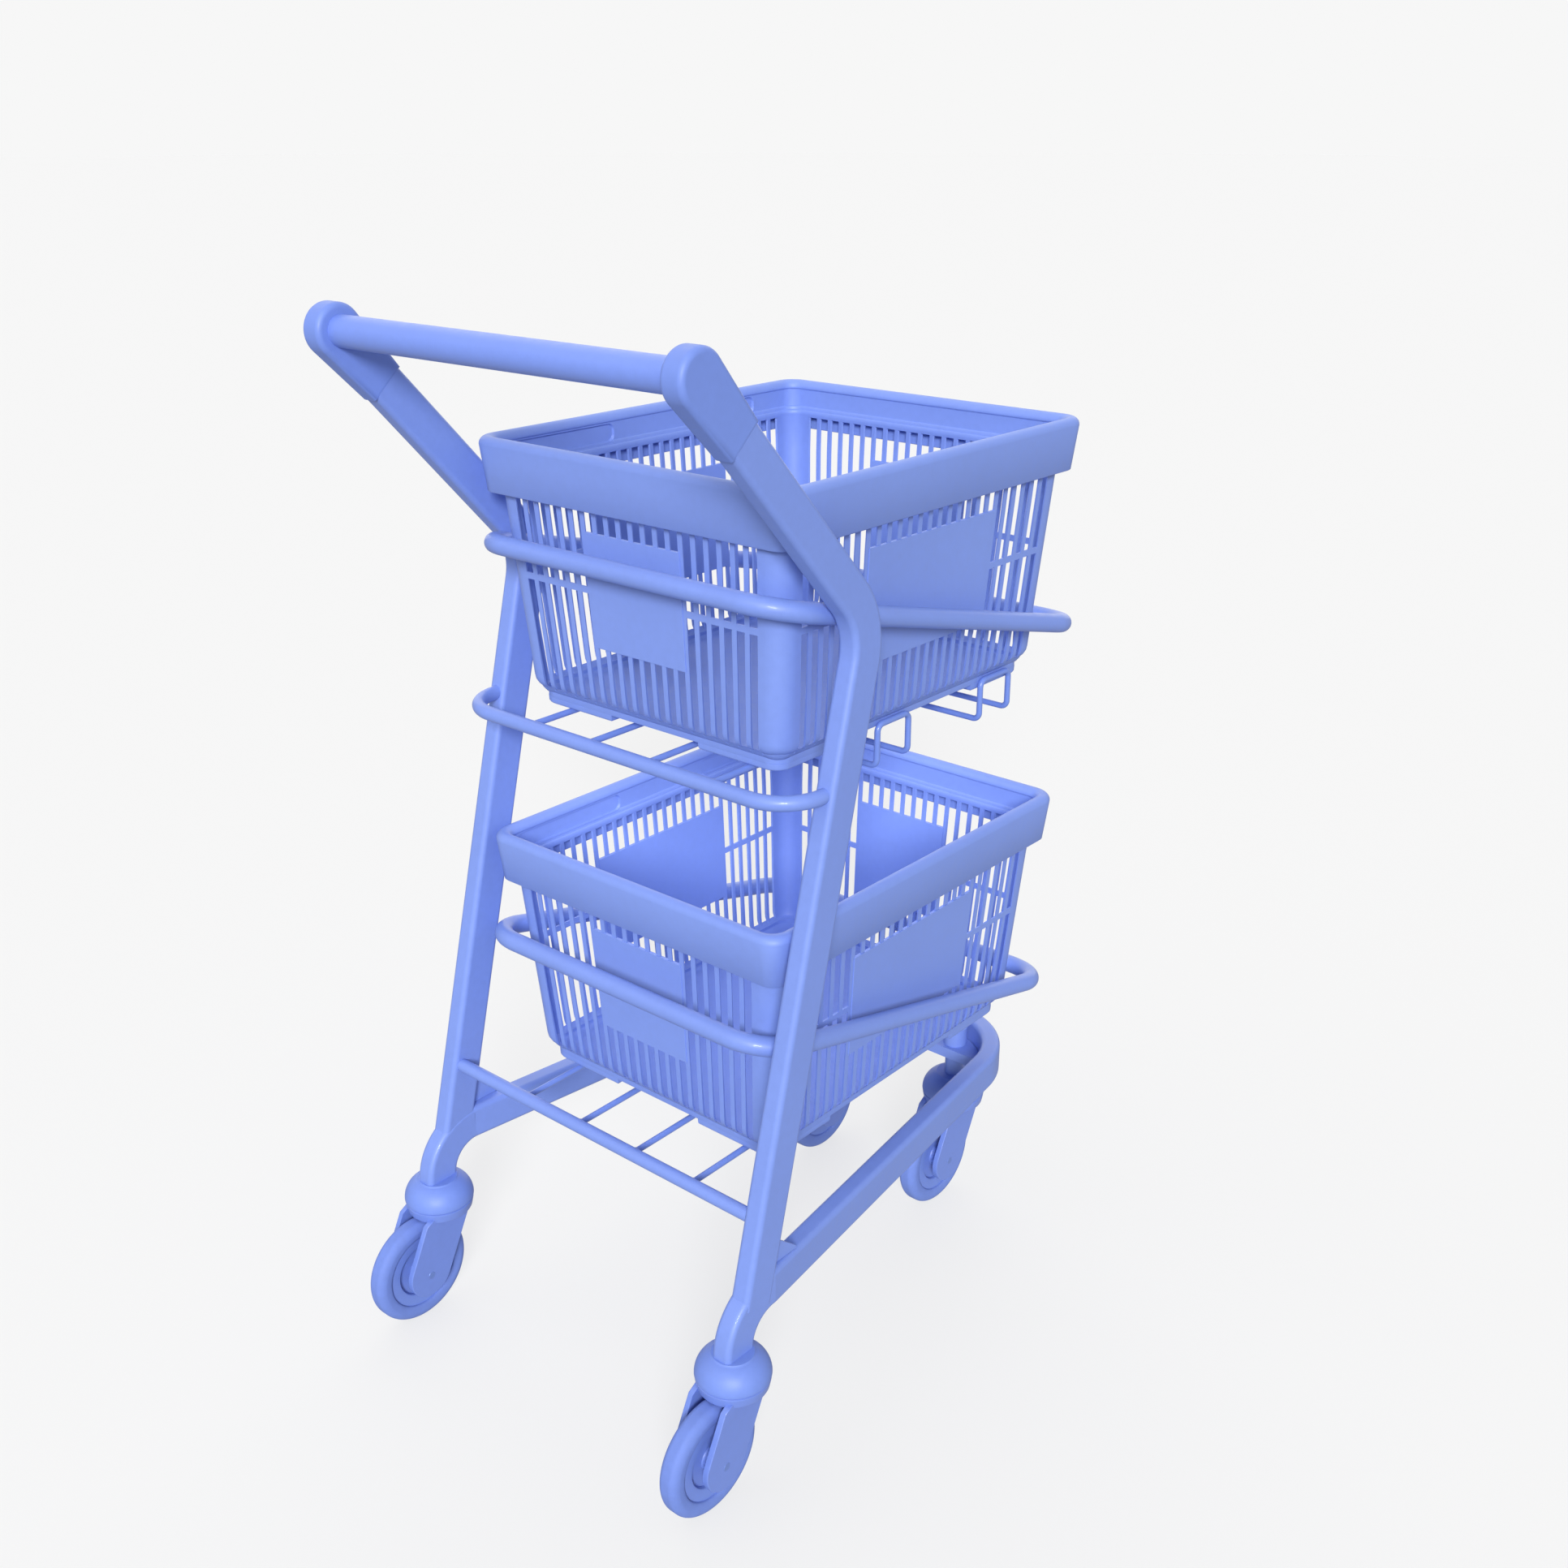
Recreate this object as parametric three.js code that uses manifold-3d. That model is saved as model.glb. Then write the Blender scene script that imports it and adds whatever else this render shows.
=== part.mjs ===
// Rolling basket trolley: bent tube frame, two lift-out shopping baskets, four swivel casters.
// Millimetres. +Z up, +Y forward, +X to the user's right. Ground at z = 0.
import * as THREE from 'three';
import { mergeVertices } from 'three/addons/utils/BufferGeometryUtils.js';
import Module from 'manifold-3d';

const wasm = await Module();
wasm.setup();

// ---- driving dimensions ----
const GAP = 0.4;
// Moves every piece so that the overall length is centred on the origin.
const CENTRE_Y = 2.76;

const TUBE_W = 20.7;
const TUBE_D = 36.0;
const TUBE_R = 5.3;

const LEG_X = 203.8;
const LEG_FOOT = { y: -212.8, z: 186.0 };
const ARM_BEND = { y: -63.8, z: 778.8, radius: 64 };
const HANDLE = { y: -263.5, z: 995.4, radius: 13.6 };
const BRACKET = { inner: 192.4, outer: 215.2, depth: 38.6, end: 23.2, length: 70.0, round: 4.4 };
const SPIGOT = { width: 15.4, depth: 30.4, radius: 4.0 };

const RAIL_Z = 193.1;
const RAIL_KINK = { x: 203.2, y: -189.7 };
const RAIL_SLOPE = -0.1306;
const RAIL_FRONT = 302.6;
const RAIL_CORNER = 82.5;
const RAIL_DROP = 45.6;
const STUB_BOTTOM = 138.6;

const PLATE_TOP = 186.0;
const PLATE_THICK = 12.0;
const PLATE_REAR = 255.6;

const GUSSET_THICK = 4.0;

const RING = { half: 183.9, span: 458.1, slope: -0.25, corner: 43.7, radius: 9.2 };
const UPPER_RING = { y: -146.9, z: 800.6 };
const LOWER_RING = { y: -166.4, z: 410.9 };

const HOOP = { y: -161.1, z: 640.2, corner: 43.0, radius: 6.8 };
const CROSS = { y: -200.8, z: 267.2, radius: 6.5 };

const WIRE_R = 3.0;
const WIRE_X = [-111.6, -37.2, 37.2, 111.6];
const STIRRUP = { x: 151.4, top: 650.5, bottom: 610.6, radius: 2.9, bend: 7.0 };
const STIRRUP_REAR = [25.5, 72.2];
const STIRRUP_FRONT = [189.3, 237.8];

const BASKET_HALF_X = 178.9;
const BASKET_HALF_Y = 217.0;
const BASKET_FOOT = -202.2;
const BASKET_BASE = -196.1;
const UPPER_BASKET = { y: 78.6, z: 844.0 };
const LOWER_BASKET = { y: 67.7, z: 462.5 };
const SLOT = 7.9;
const SLOT_TOP = -4.6;
const SLOT_BOTTOM = -182.0;
const PANEL_BOTTOM = -127.0;
const SHORT_SIDE = { count: 20, pitch: 14.7, panel: 57.7 };
const LONG_SIDE = { count: 25, pitch: 14.78, panel: 94.4 };

const WHEEL_R = 55.6;
const TRAIL = 34.5;
const BLADE_END = 25.0;
const CASTERS = [
  ['rear_left', -203.2, -235.8],
  ['rear_right', 203.2, -235.8],
  ['front_left', -83.6, 273.2],
  ['front_right', 83.6, 273.2],
];

// ---- finishes ----
function finish(color, roughness, metalness) {
  return new THREE.MeshStandardMaterial({ color, roughness, metalness });
}

const POWDER = finish(0x7d95e4, 0.45, 0.1);
const WIRE = finish(0x6d86d6, 0.35, 0.35);
const PLASTIC = finish(0x8aa2ef, 0.5, 0.0);
const BASKET = finish(0x86a0ea, 0.42, 0.0);
const FORK = finish(0x6f88da, 0.5, 0.0);
const TYRE = finish(0x5f79cb, 0.75, 0.0);
const BOLT = finish(0x8c9cd8, 0.3, 0.8);

const group = new THREE.Group();
group.name = 'rolling_basket_trolley';

function add(name, geometry, material) {
  geometry.translate(0, CENTRE_Y, 0);
  const mesh = new THREE.Mesh(geometry, material);
  mesh.name = name;
  group.add(mesh);
  return mesh;
}

const v3 = (x, y, z) => new THREE.Vector3(x, y, z);

// ---- solid helpers ----
function indexed(points, index) {
  const geometry = new THREE.BufferGeometry();
  geometry.setAttribute('position', new THREE.Float32BufferAttribute(points, 3));
  geometry.setIndex(index);
  geometry.computeVertexNormals();
  return geometry;
}

function toManifold(geometry) {
  const bare = geometry.clone();
  bare.deleteAttribute('normal');
  bare.deleteAttribute('uv');
  const merged = mergeVertices(bare, 1e-4);
  return new wasm.Manifold(new wasm.Mesh({
    numProp: 3,
    vertProperties: new Float32Array(merged.attributes.position.array),
    triVerts: new Uint32Array(merged.index.array),
  }));
}

function fromManifold(solid) {
  const mesh = solid.getMesh();
  return indexed(Array.from(mesh.vertProperties), Array.from(mesh.triVerts));
}

function cutAway(geometry, cutters) {
  let solid = toManifold(geometry);
  for (const cutter of cutters) {
    solid = solid.subtract(toManifold(cutter));
  }
  return fromManifold(solid);
}

function fuse(geometries) {
  let solid = toManifold(geometries[0]);
  for (const next of geometries.slice(1)) {
    solid = solid.add(toManifold(next));
  }
  return fromManifold(solid);
}

function circleSection(radius, count) {
  const section = [];
  for (let i = 0; i < count; i += 1) {
    const angle = ((i + 0.5) / count) * Math.PI * 2;
    section.push([radius * Math.cos(angle), radius * Math.sin(angle)]);
  }
  return section;
}

function roundedSection(width, depth, radius, steps) {
  const section = [];
  const corners = [[1, 1, 0], [-1, 1, 1], [-1, -1, 2], [1, -1, 3]];
  for (const [sx, sy, quarter] of corners) {
    for (let i = 0; i <= steps; i += 1) {
      const angle = (quarter + i / steps) * Math.PI * 0.5;
      section.push([
        sx * (width / 2 - radius) + radius * Math.cos(angle),
        sy * (depth / 2 - radius) + radius * Math.sin(angle),
      ]);
    }
  }
  return section;
}

// Corner points of a path are rounded with an arc of the given radius.
function filletPath(corners, radius, steps, closed = false) {
  const count = corners.length;
  const path = [];
  for (let i = 0; i < count; i += 1) {
    const here = corners[i];
    if (!closed && (i === 0 || i === count - 1)) {
      path.push(here.clone());
      continue;
    }
    const before = corners[(i + count - 1) % count].clone().sub(here).normalize();
    const after = corners[(i + 1) % count].clone().sub(here).normalize();
    const half = before.angleTo(after) / 2;
    const size = Array.isArray(radius) ? radius[i] : radius;
    if (size === 0) {
      path.push(here.clone());
      continue;
    }
    const reach = size / Math.tan(half);
    const middle = before.clone().add(after).normalize();
    const centre = here.clone().addScaledVector(middle, size / Math.sin(half));
    const start = here.clone().addScaledVector(before, reach).sub(centre);
    const end = here.clone().addScaledVector(after, reach).sub(centre);
    const sweepAngle = start.angleTo(end);
    const axis = start.clone().cross(end).normalize();
    for (let k = 0; k <= steps; k += 1) {
      const spoke = start.clone().applyAxisAngle(axis, (sweepAngle * k) / steps);
      path.push(centre.clone().add(spoke));
    }
  }
  return path;
}

// Sweeps a convex section along a path. `up` fixes the section's second axis at the start.
function sweep(path, section, up, closed = false) {
  const count = path.length;
  const tangents = [];
  for (let i = 0; i < count; i += 1) {
    const last = closed ? path[(i + count - 1) % count] : path[Math.max(i - 1, 0)];
    const next = closed ? path[(i + 1) % count] : path[Math.min(i + 1, count - 1)];
    const into = path[i].clone().sub(last);
    const out = next.clone().sub(path[i]);
    if (into.length() > 0) into.normalize();
    if (out.length() > 0) out.normalize();
    tangents.push(into.add(out).normalize());
  }
  const points = [];
  let second = up.clone();
  for (let i = 0; i < count; i += 1) {
    const tangent = tangents[i];
    if (i > 0) {
      const turn = new THREE.Quaternion().setFromUnitVectors(tangents[i - 1], tangent);
      second.applyQuaternion(turn);
    }
    second = second.addScaledVector(tangent, -second.dot(tangent)).normalize();
    const first = second.clone().cross(tangent);
    for (const [a, b] of section) {
      const p = path[i].clone().addScaledVector(first, a).addScaledVector(second, b);
      points.push(p.x, p.y, p.z);
    }
  }
  const size = section.length;
  const index = [];
  const spans = closed ? count : count - 1;
  for (let i = 0; i < spans; i += 1) {
    const here = i * size;
    const next = ((i + 1) % count) * size;
    for (let k = 0; k < size; k += 1) {
      const m = (k + 1) % size;
      index.push(here + k, here + m, next + m, here + k, next + m, next + k);
    }
  }
  if (!closed) {
    const far = (count - 1) * size;
    for (let k = 1; k < size - 1; k += 1) {
      index.push(0, k + 1, k, far, far + k, far + k + 1);
    }
  }
  return indexed(points, index);
}

function rod(from, to, radius, count = 12) {
  const along = to.clone().sub(from).normalize();
  const up = Math.abs(along.z) > 0.9 ? v3(0, 1, 0) : v3(0, 0, 1);
  return sweep([from, to], circleSection(radius, count), up);
}

// A lathe about +Z, placed at (x, y). Profile points are [radius, z].
function turned(profile, segments, x = 0, y = 0) {
  const geometry = new THREE.LatheGeometry(profile.map(([r, z]) => new THREE.Vector2(r, z)), segments);
  geometry.rotateX(Math.PI / 2);
  geometry.translate(x, y, 0);
  return geometry;
}

// A lathe about the X axis, placed at (x, y, z). Profile points are [radius, x offset].
function turnedAcross(profile, segments, x, y, z) {
  const geometry = new THREE.LatheGeometry(profile.map(([r, h]) => new THREE.Vector2(r, h)), segments);
  geometry.rotateZ(-Math.PI / 2);
  geometry.translate(x, y, z);
  return geometry;
}

// A polygon in the Y-Z plane, extruded along X from x0 to x1.
function sidePlate(outline, x0, x1) {
  const shape = new THREE.Shape(outline.map(([y, z]) => new THREE.Vector2(y, z)));
  const geometry = new THREE.ExtrudeGeometry(shape, { depth: x1 - x0, bevelEnabled: false });
  geometry.applyMatrix4(new THREE.Matrix4().makeBasis(v3(0, 1, 0), v3(0, 0, 1), v3(1, 0, 0)));
  geometry.translate(x0, 0, 0);
  return geometry;
}

// The same plate with all its outer edges rounded over.
function roundedPlate(outline, x0, x1, round) {
  const shape = new THREE.Shape(outline.map(([y, z]) => new THREE.Vector2(y, z)));
  const geometry = new THREE.ExtrudeGeometry(shape, {
    depth: x1 - x0 - round * 2,
    bevelEnabled: true,
    bevelThickness: round,
    bevelSize: round,
    bevelOffset: -round,
    bevelSegments: 3,
  });
  geometry.applyMatrix4(new THREE.Matrix4().makeBasis(v3(0, 1, 0), v3(0, 0, 1), v3(1, 0, 0)));
  geometry.translate(x0 + round, 0, 0);
  return geometry;
}

function box(low, high) {
  const geometry = new THREE.BoxGeometry(high[0] - low[0], high[1] - low[1], high[2] - low[2]);
  geometry.translate((low[0] + high[0]) / 2, (low[1] + high[1]) / 2, (low[2] + high[2]) / 2);
  return geometry;
}

// ---- frame ----
function railPath() {
  const run = (RAIL_FRONT - RAIL_KINK.y) * RAIL_SLOPE;
  const frontX = RAIL_KINK.x + run;
  const rearY = RAIL_KINK.y - RAIL_DROP;
  const corners = [
    v3(RAIL_KINK.x, rearY, STUB_BOTTOM),
    v3(RAIL_KINK.x, rearY, RAIL_Z),
    v3(RAIL_KINK.x, RAIL_KINK.y, RAIL_Z),
    v3(frontX, RAIL_FRONT, RAIL_Z),
    v3(-frontX, RAIL_FRONT, RAIL_Z),
    v3(-RAIL_KINK.x, RAIL_KINK.y, RAIL_Z),
    v3(-RAIL_KINK.x, rearY, RAIL_Z),
    v3(-RAIL_KINK.x, rearY, STUB_BOTTOM),
  ];
  const drop = RAIL_DROP - 0.6;
  const radii = [0, drop, 0, RAIL_CORNER, RAIL_CORNER, 0, drop, 0];
  return filletPath(corners, radii, 7);
}

function railSolid(grow) {
  const section = roundedSection(TUBE_W + grow * 2, TUBE_D + grow * 2, TUBE_R + grow, 2);
  return sweep(railPath(), section, v3(0, 1, 0));
}

// The arm's end is reduced to a spigot that plugs into the handle bracket.
function spigotSection(grow) {
  return roundedSection(SPIGOT.width + grow * 2, SPIGOT.depth + grow * 2, SPIGOT.radius + grow, 2);
}

function sideTube(x) {
  const corners = [
    v3(x, LEG_FOOT.y, LEG_FOOT.z),
    v3(x, ARM_BEND.y, ARM_BEND.z),
    v3(x, HANDLE.y, HANDLE.z),
  ];
  const path = filletPath(corners, ARM_BEND.radius, 7);
  const last = path[path.length - 1];
  const away = path[path.length - 2].clone().sub(last).normalize();
  const tip = last.clone().addScaledVector(away, HANDLE.radius + 6);
  last.addScaledVector(away, BRACKET.length + GAP);
  const tube = sweep(path, roundedSection(TUBE_W, TUBE_D, TUBE_R, 2), v3(0, 1, 0));
  const root = last.clone().addScaledVector(away, 4);
  return fuse([tube, sweep([root, tip], spigotSection(0), v3(0, 1, 0))]);
}

function gusset(x) {
  const foot = RAIL_Z + TUBE_D / 2 + GAP;
  const outline = [[-184.4, foot], [-152.5, foot], [-152.5, foot + 3], [-178.9, 235.8], [-181.4, 235.8]];
  return sidePlate(outline, x - GUSSET_THICK / 2, x + GUSSET_THICK / 2);
}

function legAxis(z) {
  const slope = (ARM_BEND.y - LEG_FOOT.y) / (ARM_BEND.z - LEG_FOOT.z);
  return LEG_FOOT.y + slope * (z - LEG_FOOT.z);
}

// The straight part of a leg, grown by the gap kept to the pieces that meet it.
function legClearance(x) {
  const section = roundedSection(TUBE_W + GAP * 2, TUBE_D + GAP * 2, TUBE_R + GAP, 2);
  return sweep([v3(x, legAxis(180), 180), v3(x, legAxis(700), 700)], section, v3(0, 1, 0));
}

function buildSides(railCutter) {
  for (const [side, sign] of [['left', -1], ['right', 1]]) {
    const x = sign * LEG_X;
    add(`side_frame_${side}`, cutAway(sideTube(x), [railCutter]), POWDER);
    add(`gusset_${side}`, cutAway(gusset(x), [legClearance(x)]), POWDER);
  }
}

function frontPlate() {
  const inner = TUBE_W / 2 + GAP;
  const halfAt = (y) => RAIL_KINK.x + (y - RAIL_KINK.y) * RAIL_SLOPE - inner * 1.0085;
  const frontY = RAIL_FRONT - inner;
  const corners = [
    v3(halfAt(PLATE_REAR), PLATE_REAR, 0),
    v3(halfAt(frontY), frontY, 0),
    v3(-halfAt(frontY), frontY, 0),
    v3(-halfAt(PLATE_REAR), PLATE_REAR, 0),
  ];
  const path = filletPath(corners, [0, RAIL_CORNER - inner, RAIL_CORNER - inner, 0], 8);
  const reach = path.filter((p) => p.y >= PLATE_REAR);
  const edge = halfAt(PLATE_REAR);
  const outline = reach.map((p) => new THREE.Vector2(THREE.MathUtils.clamp(p.x, -edge, edge), p.y));
  const shape = new THREE.Shape(outline);
  const geometry = new THREE.ExtrudeGeometry(shape, { depth: PLATE_THICK, bevelEnabled: false });
  geometry.translate(0, 0, PLATE_TOP - PLATE_THICK);
  const clear = railSolid(GAP);
  return cutAway(geometry, [clear]);
}

function frontStem(x, y) {
  const profile = [
    [0, STUB_BOTTOM],
    [10.4, STUB_BOTTOM],
    [10.4, PLATE_TOP - PLATE_THICK - GAP],
    [0, PLATE_TOP - PLATE_THICK - GAP],
  ];
  return turned(profile, 20, x, y);
}

function frontBoss(x, y) {
  const low = PLATE_TOP + GAP;
  const profile = [[0, low], [13.2, low], [13.2, 207.0], [12.2, 208.0], [0, 208.0]];
  return turned(profile, 20, x, y);
}

function handleBracket(sign) {
  const along = v3(0, ARM_BEND.y - HANDLE.y, ARM_BEND.z - HANDLE.z).normalize();
  const across = v3(0, along.z, -along.y);
  const half = BRACKET.depth / 2;
  const outline = [];
  const put = (a, b) => {
    const p = v3(0, HANDLE.y, HANDLE.z).addScaledVector(along, a).addScaledVector(across, b);
    outline.push([p.y, p.z]);
  };
  const steps = 12;
  const reach = Math.hypot(BRACKET.length, half);
  const tangent = Math.atan2(half, BRACKET.length) + Math.acos(BRACKET.end / reach);
  for (let i = 0; i <= steps; i += 1) {
    const angle = tangent + ((Math.PI * 2 - tangent * 2) * i) / steps;
    put(BRACKET.end * Math.cos(angle), BRACKET.end * Math.sin(angle));
  }
  put(BRACKET.length, -half);
  put(BRACKET.length, half);
  const x0 = sign > 0 ? BRACKET.inner : -BRACKET.outer;
  const body = roundedPlate(outline, x0, x0 + BRACKET.outer - BRACKET.inner, BRACKET.round);
  const start = v3(sign * LEG_X, HANDLE.y, HANDLE.z).addScaledVector(along, HANDLE.radius + 6 - GAP);
  const stop = start.clone().addScaledVector(along, BRACKET.length);
  const hole = sweep([start, stop], spigotSection(GAP), v3(0, 1, 0));
  const socket = rod(
    v3(sign * (BRACKET.inner - 1), HANDLE.y, HANDLE.z),
    v3(sign * (BRACKET.inner + 8), HANDLE.y, HANDLE.z),
    HANDLE.radius + GAP,
    24,
  );
  return cutAway(body, [hole, socket]);
}

function handleBar() {
  const reach = BRACKET.inner + 7.6;
  const ends = [v3(-reach, HANDLE.y, HANDLE.z), v3(reach, HANDLE.y, HANDLE.z)];
  return rod(ends[0], ends[1], HANDLE.radius, 24);
}

// ---- rings, hoop and wires ----
function ring(start) {
  const rise = RING.span * RING.slope;
  const corners = [
    v3(-RING.half, start.y, start.z),
    v3(RING.half, start.y, start.z),
    v3(RING.half, start.y + RING.span, start.z + rise),
    v3(-RING.half, start.y + RING.span, start.z + rise),
  ];
  const path = filletPath(corners, RING.corner, 5, true);
  return sweep(path, circleSection(RING.radius, 10), v3(0, 0.243, 0.97), true);
}

function hoop() {
  const end = legAxis(HOOP.z);
  const corners = [
    v3(-LEG_X, end, HOOP.z),
    v3(-LEG_X, HOOP.y, HOOP.z),
    v3(LEG_X, HOOP.y, HOOP.z),
    v3(LEG_X, end, HOOP.z),
  ];
  const path = filletPath(corners, HOOP.corner, 6);
  const tube = sweep(path, circleSection(HOOP.radius, 10), v3(0, 0, 1));
  return cutAway(tube, [legClearance(LEG_X), legClearance(-LEG_X)]);
}

function crossTube() {
  const reach = LEG_X - TUBE_W / 2 - GAP;
  return rod(v3(-reach, CROSS.y, CROSS.z), v3(reach, CROSS.y, CROSS.z), CROSS.radius, 12);
}

function ringBarUnderside(start) {
  return {
    y: start.y + RING.span,
    z: start.z + RING.span * RING.slope - RING.radius - GAP,
  };
}

function rackWire(x, rearY, level, ringStart, dip) {
  const end = ringBarUnderside(ringStart);
  const corners = [v3(x, rearY, level)];
  if (dip > 0) {
    corners.push(v3(x, -62, level));
    corners.push(v3(x, -40, level - dip));
    corners.push(v3(x, 262, level - dip));
    corners.push(v3(x, 284, level));
  }
  corners.push(v3(x, end.y, level));
  corners.push(v3(x, end.y, end.z));
  const path = filletPath(corners, 9, 2);
  return sweep(path, circleSection(WIRE_R, 6), v3(1, 0, 0));
}

function stirrup(span) {
  const [rear, front] = span;
  const { x, top, bottom } = STIRRUP;
  const corners = [
    v3(-x, rear, top),
    v3(-x, rear, bottom),
    v3(x, rear, bottom),
    v3(x, rear, top),
    v3(x, front, top),
    v3(x, front, bottom),
    v3(-x, front, bottom),
    v3(-x, front, top),
  ];
  const path = filletPath(corners, STIRRUP.bend, 2, true);
  return sweep(path, circleSection(STIRRUP.radius, 6), v3(0, 1, 0), true);
}

function buildRack() {
  const basketFoot = UPPER_BASKET.z + BASKET_FOOT;
  const upperLevel = basketFoot - GAP - WIRE_R;
  const lowerLevel = LOWER_BASKET.z + BASKET_FOOT - GAP - WIRE_R;
  const stirrupTop = STIRRUP.bottom + STIRRUP.radius + GAP + WIRE_R;
  const hoopFront = HOOP.y + Math.sqrt(HOOP.radius ** 2 - (upperLevel - HOOP.z) ** 2) + GAP;
  WIRE_X.forEach((x, i) => {
    const dip = Math.abs(x) < 60 ? upperLevel - stirrupTop : 0;
    const upper = rackWire(x, hoopFront, upperLevel, UPPER_RING, dip);
    add(`upper_rack_wire_${i + 1}`, upper, WIRE);
    const lower = rackWire(x, CROSS.y, lowerLevel, LOWER_RING, 0);
    add(`lower_rack_wire_${i + 1}`, lower, WIRE);
  });
  add('stirrup_rear', stirrup(STIRRUP_REAR), WIRE);
  add('stirrup_front', stirrup(STIRRUP_FRONT), WIRE);
}

// ---- baskets ----
// One horizontal outline of the basket, offset from the rim's lower edge.
function basketOutline(offset, z, radius) {
  const halfX = BASKET_HALF_X + offset;
  const halfY = BASKET_HALF_Y + offset;
  return roundedSection(halfX * 2, halfY * 2, radius, 3).map(([x, y]) => [x, y, z]);
}

function loft(profile) {
  const rings = profile.map(([offset, z, radius]) => basketOutline(offset, z, radius));
  const size = rings[0].length;
  const points = rings.flat(2);
  const index = [];
  for (let i = 0; i < rings.length - 1; i += 1) {
    const here = i * size;
    const next = here + size;
    for (let k = 0; k < size; k += 1) {
      const m = (k + 1) % size;
      index.push(here + k, here + m, next + m, here + k, next + m, next + k);
    }
  }
  const far = (rings.length - 1) * size;
  for (let k = 1; k < size - 1; k += 1) {
    index.push(0, k + 1, k, far, far + k, far + k + 1);
  }
  return indexed(points, index);
}

// Rows are inset from the rim's lower edge, height above it, and corner radius.
function basketShell() {
  return loft([
    [-35.0, BASKET_FOOT, 14],
    [-32.2, BASKET_FOOT + 1.0, 16],
    [-31.0, BASKET_FOOT + 4.0, 17],
    [-30.8, -189.0, 17],
    [-28.2, -184.5, 18],
    [-23.8, -180.0, 20],
    [-21.6, -174.0, 20],
    [-9.0, -4.4, 19],
    [-5.6, -2.4, 18],
    [-4.2, 42.0, 18],
    [-2.2, 44.8, 18],
    [1.2, 44.8, 19],
    [3.2, 42.0, 19],
    [-2.6, 0.0, 13],
    [0.0, 0.0, 14],
    [6.0, 41.0, 21],
    [5.4, 46.4, 21],
    [2.6, 49.4, 19],
    [-0.9, 50.4, 17],
    [-4.3, 49.4, 15],
    [-7.0, 46.4, 13],
    [-7.8, 41.0, 13],
    [-9.2, 2.0, 14],
    [-11.9, 0.2, 15],
    [-11.9, -4.4, 16],
    [-24.4, -174.0, 17],
    [-27.4, -181.0, 15],
    [-31.6, -187.6, 12],
    [-38.0, -192.8, 8],
  ]);
}

// Six-sided solid from four bottom and four top points, both counter-clockwise from above.
function hexahedron(bottom, top, points, index) {
  const base = points.length / 3;
  for (const p of [...bottom, ...top]) {
    points.push(p[0], p[1], p[2]);
  }
  const faces = [[0, 3, 2, 1], [4, 5, 6, 7], [0, 1, 5, 4], [1, 2, 6, 5], [2, 3, 7, 6], [3, 0, 4, 7]];
  for (const [a, b, c, d] of faces) {
    index.push(base + a, base + b, base + c, base + a, base + c, base + d);
  }
}

// The row of slots through one wall. The wall stands at distance `reach` along its normal.
function slotCutter(side, alongHalf, reach, place) {
  const points = [];
  const index = [];
  const squeeze = (z) => (alongHalf + 0.075 * z) / alongHalf;
  for (let i = 0; i < side.count; i += 1) {
    const centre = (i - (side.count - 1) / 2) * side.pitch;
    const inPanel = Math.abs(centre) < side.panel;
    const quad = (z) => {
      const left = (centre - SLOT / 2) * squeeze(z);
      const right = (centre + SLOT / 2) * squeeze(z);
      const corners = [[left, reach - 36], [right, reach - 36], [right, reach - 3], [left, reach - 3]];
      return corners.map(([u, v]) => place(u, v, z));
    };
    hexahedron(quad(SLOT_BOTTOM), quad(inPanel ? PANEL_BOTTOM : SLOT_TOP), points, index);
  }
  return indexed(points, index);
}

function basketGeometry() {
  const halfX = BASKET_HALF_X - 9;
  const halfY = BASKET_HALF_Y - 9;
  const cutters = [
    slotCutter(SHORT_SIDE, halfX, BASKET_HALF_Y, (u, v, z) => [-u, -v, z].map((c, i) => (i < 2 ? -c : c))),
    slotCutter(SHORT_SIDE, halfX, BASKET_HALF_Y, (u, v, z) => [-u, -v, z]),
    slotCutter(LONG_SIDE, halfY, BASKET_HALF_X, (u, v, z) => [v, -u, z]),
    slotCutter(LONG_SIDE, halfY, BASKET_HALF_X, (u, v, z) => [-v, u, z]),
    box([-54, -BASKET_HALF_Y, BASKET_FOOT - 2], [54, BASKET_HALF_Y, BASKET_BASE]),
    box([-BASKET_HALF_X, -99.5, BASKET_FOOT - 2], [BASKET_HALF_X, 99.5, BASKET_BASE]),
  ];
  return cutAway(basketShell(), cutters);
}

// ---- casters ----
function hood(x, y) {
  const profile = [
    [0, 116.0],
    [6.0, 116.0],
    [6.0, 124.6],
    [34.0, 124.6],
    [35.2, 126.6],
    [34.6, 132.6],
    [31.2, 139.6],
    [26.4, 144.8],
    [20.8, 148.4],
    [20.0, 148.4],
    [20.0, 138.2],
    [0, 138.2],
  ];
  return turned(profile, 18, x, y);
}

// The fork blade from the side, about the swivel axis: wide at the crown, round about the axle.
function bladeOutline() {
  const outline = [[-26.0, 118]];
  for (let i = 0; i <= 8; i += 1) {
    const angle = Math.PI * (0.95 + (i / 8) * 1.07);
    outline.push([BLADE_END * Math.cos(angle) - TRAIL, WHEEL_R + BLADE_END * Math.sin(angle)]);
  }
  outline.push([24.0, 118]);
  return outline;
}

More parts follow.
